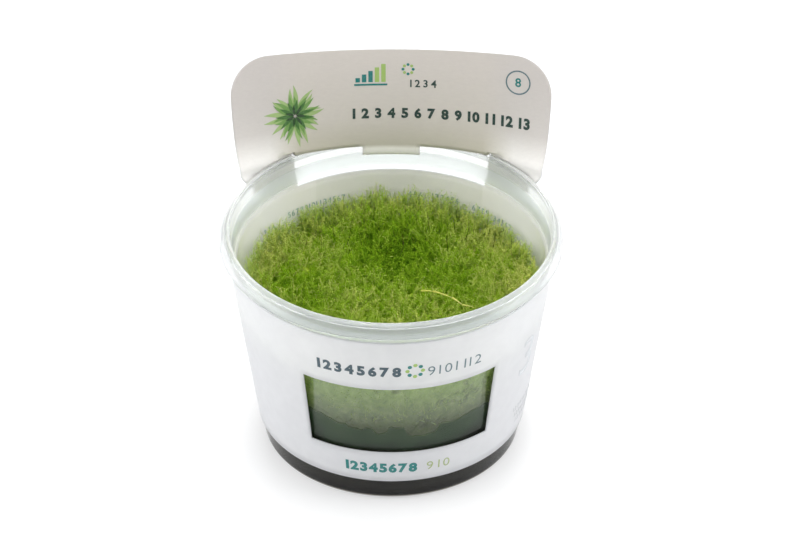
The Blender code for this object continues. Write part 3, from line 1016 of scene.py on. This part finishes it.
def moss_material(name, dark, light, pale):
    """Thin green leaves, whose tone differs from shoot to shoot and grows lighter to the tips, with
    painted shade towards the bases.
    """
    moss = Surface(name, Roughness=0.7, Specular_IOR_Level=0.0)
    tone = moss.node("Attribute", (), "Fac", attribute_name="tone")
    body = moss.ramp(tone, (0.0, dark), (0.5, light), (1.0, pale))
    colour = moss.times(body, moss.grain(1400.0, (0.82, 0.85, 0.80), 1.0))
    moss.into("Base Color", colour)
    moss.let_light_through(colour, 0.5)
    return moss.material


def mesh_from_arrays(name, points, triangles, tones):
    mesh = bpy.data.meshes.new(name)
    mesh.vertices.add(len(points))
    mesh.vertices.foreach_set("co", points.astype(np.float32).ravel())
    count = len(triangles)
    mesh.loops.add(3 * count)
    mesh.loops.foreach_set("vertex_index", triangles.astype(np.int32).ravel())
    mesh.polygons.add(count)
    mesh.polygons.foreach_set("loop_start", np.arange(0, 3 * count, 3, dtype=np.int32))
    mesh.update(calc_edges=True)
    layer = mesh.attributes.new("tone", "FLOAT", "POINT")
    layer.data.foreach_set("value", tones.astype(np.float32))
    mesh.validate()
    return mesh


STEM_RINGS = 4
LEAF_TURN = radians(137.5)


def grow_shoots(base, tip, bow, stem_radius, leaf_length, leaf_width, leaves, tone, rng):
    """Grows many shoots at once: bowed three-sided stems with thin closed leaflets round them.

    base, tip and bow are (n, 3) arrays, the rest are (n,) arrays, and leaves is one number.
    """
    count = len(base)
    control = (base + tip) / 2 + bow

    def along(share):
        share = share[..., None]
        return ((1 - share)**2 * base[:, None] + 2 * share * (1 - share) * control[:, None]
                + share**2 * tip[:, None])

    def heading(share):
        share = share[..., None]
        way = (1 - share) * (control - base)[:, None] + share * (tip - control)[:, None]
        return way / np.linalg.norm(way, axis=-1, keepdims=True)

    def frame(way):
        """Two directions at right angles to each heading."""
        helper = np.where(np.abs(way[..., 2:3]) < 0.9, (0.0, 0.0, 1.0), (1.0, 0.0, 0.0))
        one = np.cross(way, helper)
        one /= np.linalg.norm(one, axis=-1, keepdims=True)
        return one, np.cross(way, one)

    ring_share = np.tile(np.linspace(0.0, 1.0, STEM_RINGS), (count, 1))
    middle = along(ring_share)
    one, two = frame(heading(ring_share))
    taper = stem_radius[:, None] * (1.0 - 0.75 * ring_share)
    corners = []
    for k in range(3):
        turn = tau * k / 3
        corners.append(middle + taper[..., None] * (cos(turn) * one + sin(turn) * two))
    stem_points = np.stack(corners, axis=2).reshape(count, STEM_RINGS * 3, 3)
    stem_faces = []
    for ring in range(STEM_RINGS - 1):
        for k in range(3):
            a, b = ring * 3 + k, ring * 3 + (k + 1) % 3
            stem_faces += [(a, b, b + 3), (a, b + 3, a + 3)]
    last = (STEM_RINGS - 1) * 3
    stem_faces += [(0, 2, 1), (last, last + 1, last + 2)]

    share = np.linspace(0.30, 1.0, leaves) + rng.uniform(-0.02, 0.02, (count, leaves))
    share = np.clip(share, 0.0, 1.0)
    root = along(share)
    way = heading(share)
    one, two = frame(way)
    turn = rng.uniform(0, tau, (count, 1)) + LEAF_TURN * np.arange(leaves)
    turn = turn[..., None]
    out = np.cos(turn) * one + np.sin(turn) * two
    side = np.cross(way, out)
    spread = (1.05 - 0.75 * share)[..., None] + rng.uniform(-0.15, 0.2, (count, leaves, 1))
    aim = np.sin(spread) * out + np.cos(spread) * way
    length = (leaf_length[:, None] * (1.08 - 0.4 * share) *
              rng.uniform(0.75, 1.2, (count, leaves)))[..., None]
    width = (leaf_width[:, None] * (1.0 - 0.35 * share))[..., None]
    waist = root + aim * length * 0.42 + np.cross(side, aim) * width * 0.5
    leaf_points = np.stack([
        root, waist + side * width, waist - side * width, root + aim * length,
    ], axis=2).reshape(count, leaves * 4, 3)
    leaf_faces = []
    for leaf in range(leaves):
        low = STEM_RINGS * 3 + leaf * 4
        start, left, right, end = (low + k for k in range(4))
        leaf_faces += [
            (start, left, end), (start, end, right), (start, right, left), (left, right, end),
        ]
    points = np.concatenate([stem_points, leaf_points], axis=1)
    each = points.shape[1]
    faces = np.array(stem_faces + leaf_faces)
    triangles = (faces[None] + each * np.arange(count)[:, None, None]).reshape(-1, 3)
    reach = np.concatenate([
        np.repeat(ring_share, 3, axis=1), np.repeat(share, 4, axis=1),
    ], axis=1)
    # Each shoot darkens towards its base: painted shade down in the growth.
    tones = tone[:, None] * (0.74 + 0.36 * reach) + 0.10 * reach - 0.05
    return points.reshape(-1, 3), triangles, np.clip(tones, 0.0, 1.0).ravel()


def scattered(count, radius, rng):
    """Evenly strewn places in a disc, by the sunflower rule with a little disorder."""
    k = np.arange(count) + 0.5
    reach = radius * np.sqrt(k / count)
    turn = k * pi * (3.0 - sqrt(5.0))
    places = np.stack([reach * np.cos(turn), reach * np.sin(turn)], axis=1)
    places += rng.normal(0.0, 0.3 * radius / sqrt(count), places.shape)
    far = np.linalg.norm(places, axis=1, keepdims=True)
    return places * np.minimum(1.0, radius / np.maximum(far, 1e-9))


def kept_inside(points, clearance):
    """Draws points in so that they stay off the cup's wall."""
    reach = FOOT_RADIUS + WALL_SLOPE * points[:, 2] - WALL_THICKNESS - clearance
    far = np.linalg.norm(points[:, :2], axis=1)
    scale = np.minimum(1.0, reach / np.maximum(far, 1e-9))
    points = points.copy()
    points[:, :2] *= scale[:, None]
    return points


def patches(x, y):
    """The moss's mounds and hollows, as a number round 0 at each place; the moss is lighter on the
    mounds and darker in the hollows, as painted light and shade.
    """
    total = 0.10 * np.sin(420.0 * x + 260.0 * y) * np.cos(380.0 * y - 150.0 * x + 1.0)
    total += 0.08 * np.sin(760.0 * x - 540.0 * y + 2.0)
    for middle_x, middle_y, reach, depth in MOSS_PATCHES:
        away = ((x - middle_x / 1000)**2 + (y - middle_y / 1000)**2) / (reach / 1000)**2
        total += depth * np.exp(-away)
    return total


def mat_standoff(front_deg, z, rng):
    """How far the mat's side stands back from the wall: round lumps pressed against it."""
    wall = wall_inner(0.036)
    around = np.radians(front_deg) * wall
    total = 900
    lump_x = rng.uniform(-pi, pi, total) * wall
    lump_z = rng.uniform(0.024, MOSS_MAT_Z, total)
    reach = rng.uniform(0.0011, 0.0034, total)
    swell = np.zeros(z.shape)
    for x, up, size in zip(lump_x, lump_z, reach):
        across = (around - x + pi * wall) % (tau * wall) - pi * wall
        away = (across**2 + (z - up)**2) / size**2
        swell = np.maximum(swell, size * 0.75 * np.sqrt(np.clip(1.0 - away, 0.0, 1.0)))
    return MAT_STANDOFF - np.minimum(swell, MAT_STANDOFF)


def make_moss_mat(rng):
    """The dense old growth under the shoots, seen through the window above the gel."""
    around, sides, steps = 560, 40, 44
    front_deg = np.arange(around) * 360.0 / around - 180.0
    turn = np.radians(front_deg)
    share = np.linspace(0.0, 1.0, sides + 1)[:, None]
    top_z = MOSS_MAT_Z - 0.0012
    z = mix(gel_edge_z(front_deg) + 0.00005, top_z, share)
    back = mat_standoff(front_deg, z, rng) * np.minimum(share / 0.15, 1.0)
    radius = wall_inner(z) - MAT_CLEARANCE - back

    def top(x, y):
        lumps = np.sin(1400.0 * x + 300.0 * y) * np.cos(1250.0 * y) + np.sin(2100.0 * x - 1700.0 * y)
        fall = 0.0012 * (np.hypot(x, y) / wall_inner(top_z))**8
        return mat_top_z(x, y) + 0.00035 * lumps - fall

    def low(x, y):
        return gel_top(x, y) + 0.0003

    low_radius = wall_inner(GEL_TOP_Z) - 0.0030
    rings = [ring_at(turn, low_radius * k / 6, low) for k in range(1, 7)]
    rings += [ring_at(turn, *row) for row in zip(radius, z)]
    edge = radius[-1] - 0.0010
    rings += [ring_at(turn, edge * k / steps, top) for k in range(steps, 0, -1)]
    points, triangles = lofted(rings, low(0.0, 0.0), top(0.0, 0.0))
    # Lighter on the mounds and darker in the hollows: painted light and shade.
    tones = np.clip(0.5 + 1.5 * patches(points[:, 0], points[:, 1]), 0.0, 1.0)
    mesh = mesh_from_arrays("moss_mat", points, triangles, tones)
    mesh.shade_smooth()
    finish_mesh("moss_mat", mesh, [mat_material()], "moss")


def mat_material():
    """Old growth: yellow-green on top, hazier down behind the wall and darker the lower it goes, as
    painted shade.
    """
    mat = Surface("moss_old_growth", Roughness=0.8, Specular_IOR_Level=0.0)
    height = mat.axis("Z")
    side = mat.ramp(
        mat.noise(420.0, 4.0, 0.6), (0.30, (0.235, 0.385, 0.070)),
        (0.50, (0.350, 0.520, 0.110)), (0.72, (0.550, 0.710, 0.240)),
    )
    top = mat.ramp(
        mat.node("Attribute", (), "Fac", attribute_name="tone"), (0.15, (0.260, 0.500, 0.014)),
        (0.50, (0.480, 0.720, 0.030)), (0.80, (0.700, 0.850, 0.090)),
    )
    body = mat.blend(mat.between(height, MOSS_MAT_Z - 0.0035, MOSS_MAT_Z - 0.0010), side, top)
    fine = mat.grain(1300.0, (0.82, 0.84, 0.78), 1.0, 4.0, 0.6)
    # Darker the lower it goes behind the wall: painted shade.
    painted_depth_shade = mat.between(height, 0.028, 0.0458, 0.17, 0.97)
    grey = mat.node("CombineColor", enumerate((painted_depth_shade,) * 3))
    deep = mat.times(mat.times(body, fine), grey)
    mat.into("Base Color", deep)
    mat.let_light_through(deep, 0.25)
    mat.bump(mat.noise(1100.0, 3.0), 0.0003, 0.7)
    return mat.material


def add_shoots(name, material, base, tip, bow, tone, leaves, rng, thickness=1.0, leaf=1.0,
               clearance=FILL_CLEARANCE):
    n = len(base)
    points, triangles, tones = grow_shoots(
        base, tip, bow, thickness * rng.uniform(0.00008, 0.00014, n),
        leaf * rng.uniform(0.0006, 0.0012, n), leaf * rng.uniform(0.00012, 0.00020, n), leaves,
        tone, rng,
    )
    points = kept_inside(points, clearance)
    mesh = mesh_from_arrays(name, points, triangles, tones)
    finish_mesh(name, mesh, [material], "moss")


def mat_top_z(x, y):
    """The mat's top: mounds and hollows, higher where it leans on the wall at the right."""
    heap = 0.0026 * np.exp(-(((x - 0.042) / 0.012)**2 + (y / 0.026)**2))
    return MOSS_MAT_Z + 0.0045 * patches(x, y) + heap


def to_nearest(places, centres):
    """The way from each place to its nearest centre."""
    ways = centres[None] - places[:, None]
    nearest = np.argmin((ways**2).sum(axis=2), axis=1)
    return ways[np.arange(len(places)), nearest]


def clumping(turn):
    """How tall the growth is round the wall, from about -1 to 1: it stands in uneven clumps."""
    return 0.6 * np.sin(9.0 * turn + 1.0) * np.sin(5.0 * turn + 0.4) + 0.4 * np.sin(23.0 * turn + 2.0)


def make_canopy(material, rng):
    """The shoots that make the moss's top, in four strips from left to right."""
    total = CANOPY_SHOOTS
    radius = wall_inner(MOSS_MAT_Z) - 0.0008
    places = scattered(total, radius, rng)
    x, y = places.T
    tufts = scattered(CANOPY_TUFTS, radius, rng) + rng.normal(0.0, 0.0012, (CANOPY_TUFTS, 2))
    to_tuft = to_nearest(places, tufts)
    heart = np.exp(-(np.hypot(*to_tuft.T) / 0.0016)**2)
    creeping = rng.random(total) < 0.50
    ground = mat_top_z(x, y)
    rise = np.where(creeping, rng.uniform(0.0008, 0.0026, total), rng.normal(0.0038, 0.0011, total))
    rise += 0.0034 * np.exp(-((x / 0.021)**2 + ((y - 0.035) / 0.011)**2))
    tall = rng.random(total) < 0.05 + 0.10 * (y > 0.012)
    rise += 0.0030 * patches(x, y) + tall * rng.uniform(0.001, 0.003, total)
    rise += 0.0016 * heart - 0.0005
    rise *= 1.0 + 0.45 * clumping(np.arctan2(x, -y)) * (np.hypot(x, y) / radius)**4
    height = np.clip(ground + rise, ground + 0.0006, CANOPY_TOP_Z)
    lean = rng.normal(0.0, 1.0, (total, 2)) * np.where(creeping, 0.0032, 0.0015)[:, None]
    lean += to_tuft * 0.60
    tip = kept_inside(np.column_stack([places + lean, height]), 0.0006)
    base = kept_inside(np.column_stack([places, ground - 0.0008]), 0.0008)
    bow = rng.normal(0.0, 1.0, (total, 3)) * (1, 1, 0.2)
    bow *= np.where(creeping, 0.0018, 0.0013)[:, None]
    bow[:, 2] += np.where(creeping, 0.0014, 0.0)
    edge = (np.hypot(x, y) / radius)**6
    # Lighter on the mounds and darker in the hollows: painted light and shade.
    tone = 0.58 + 1.7 * patches(x, y) + 0.10 * heart + rng.normal(0.0, 0.08, total)
    tone = np.clip(tone + 0.26 * edge * (y > -0.015), 0.02, 1.0)
    band = np.digitize(x, [-0.0175, 0.0, 0.0175])
    for index, side in enumerate(("left", "middle_left", "middle_right", "right")):
        chosen = band == index
        add_shoots("moss_shoots_" + side, material, base[chosen], tip[chosen], bow[chosen],
                   tone[chosen], 14, rng, 0.9, 1.2)


def wall_points(turn, z, back):
    return ring_at(turn, wall_inner(z) - back, z)


def make_wall_shoots(material, rng):
    """Short shoots pressed against the wall behind the window, between the mat's lumps."""
    total = WALL_SHOOTS
    front_deg = rng.uniform(-40.0, 47.0, total)
    turn = np.radians(front_deg)
    edge = gel_edge_z(front_deg)
    low = edge + 0.001 + rng.uniform(0.0, 1.0, total)**0.6 * (MOSS_MAT_Z - 0.003 - edge)
    high = low + rng.uniform(0.0008, 0.0030, total)
    drift = turn + rng.normal(0.0, 0.030, total)
    base = wall_points(turn, low, rng.uniform(0.0003, 0.0008, total))
    tip = wall_points(drift, high, 0.0001)
    bow = rng.normal(0.0, 0.0006, (total, 3))
    tone = np.clip(rng.normal(0.55, 0.15, total), 0.0, 1.0)
    add_shoots("moss_shoots_wall", material, base, tip, bow, tone, 6, rng, 0.8, 0.8,
               WALL_SHOOT_CLEARANCE)


def make_fringe(material, rng):
    """Pale thin growth that climbs the wall round the sides and the back."""
    total = FRINGE_SHOOTS
    turn = rng.normal(pi, 1.10, total)
    low = MOSS_MAT_Z - 0.001 + rng.uniform(0.0, 0.0040, total)
    high = low + rng.uniform(0.0015, 0.0055, total) * (1.0 + 0.6 * clumping(turn))
    high = np.minimum(high, CANOPY_TOP_Z)
    drift = turn + rng.normal(0.0, 0.035, total)
    base = wall_points(turn, low, rng.uniform(0.0005, 0.0036, total))
    tip = wall_points(drift, high, rng.uniform(0.0004, 0.0026, total))
    bow = rng.normal(0.0, 0.0014, (total, 3))
    tone = np.clip(rng.normal(0.50, 0.22, total), 0.0, 1.0)
    add_shoots("moss_fringe", material, base, tip, bow, tone, 7, rng, 0.75, 1.05)


def make_dry_strand(material, rng):
    """A dry strand that lies on top at the right, in four straight runs."""
    kink = np.array([
        (8.6, -8.2, 53.2), (12.2, -8.9, 53.6), (17.6, -12.4, 53.8), (20.4, -15.6, 53.6),
        (24.0, -16.2, 53.0),
    ]) / 1000
    add_shoots("moss_dry_strand", material, kink[:-1], kink[1:], np.zeros((4, 3)) + (0, 0, 0.0003),
               np.array([0.55, 0.75, 0.95, 0.9]), 5, rng, 3.4, 1.1)


def make_stalks(material, rng):
    """Thin dark stalks that stand up at the back."""
    places = scattered(4 * STALKS, 0.0415, rng)
    places = places[places[:, 1] > 0.018]
    places = places[::max(len(places) // STALKS, 1)]
    count = len(places)
    foot = np.column_stack([places, mat_top_z(*places.T) + 0.002])
    top = foot + np.column_stack([
        rng.normal(0.0, 0.0012, (count, 2)), rng.uniform(0.005, 0.0085, count),
    ])
    top[:, 2] = np.minimum(top[:, 2], CANOPY_TOP_Z)
    add_shoots("moss_stalks", material, foot, kept_inside(top, 0.0006),
               rng.normal(0.0, 0.0006, (count, 3)), rng.uniform(0.2, 0.9, count), 2, rng, 0.85, 0.6)


def make_curls(material, rng):
    """Small bright curls, most of them in front and at the right."""
    places = scattered(CURLS, 0.0425, rng)
    places = places[rng.random(CURLS) < 0.35 + 8.0 * places[:, 0] - 9.0 * places[:, 1]]
    count = len(places)
    foot = np.column_stack([places, mat_top_z(*places.T) + rng.uniform(0.0028, 0.0046, count)])
    top = foot + rng.normal(0.0, 0.0005, (count, 3))
    bow = np.column_stack([rng.normal(0.0, 0.0010, (count, 2)), rng.uniform(0.0008, 0.0018, count)])
    add_shoots("moss_curls", material, foot, kept_inside(top, 0.0008), bow,
               rng.uniform(0.6, 1.0, count), 3, rng, 1.7, 0.45)


def make_moss():
    rng = np.random.default_rng(MOSS_SEED)
    green = moss_material(
        "moss_leaves", (0.235, 0.480, 0.020), (0.620, 0.880, 0.060), (0.940, 0.985, 0.320),
    )
    hazy = moss_material(
        "moss_behind_wall", (0.320, 0.480, 0.090), (0.500, 0.680, 0.160), (0.760, 0.860, 0.330),
    )
    pale = moss_material(
        "moss_pale_growth", (0.640, 0.840, 0.180), (0.820, 0.960, 0.300), (0.940, 0.985, 0.480),
    )
    dry = moss_material(
        "moss_dry", (0.760, 0.800, 0.120), (0.900, 0.900, 0.220), (0.980, 0.950, 0.380),
    )
    dark = moss_material(
        "moss_dark_stalks", (0.110, 0.220, 0.035), (0.150, 0.210, 0.050), (0.220, 0.110, 0.060),
    )
    make_moss_mat(rng)
    make_canopy(green, rng)
    make_wall_shoots(hazy, rng)
    make_fringe(pale, rng)
    make_dry_strand(dry, rng)
    make_stalks(dark, rng)
    make_curls(green, rng)


def main():
    make_camera()
    make_stage()
    make_cup()
    make_card_sleeve()
    make_prints()
    make_growth_gel()
    make_moss()


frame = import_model()
main()
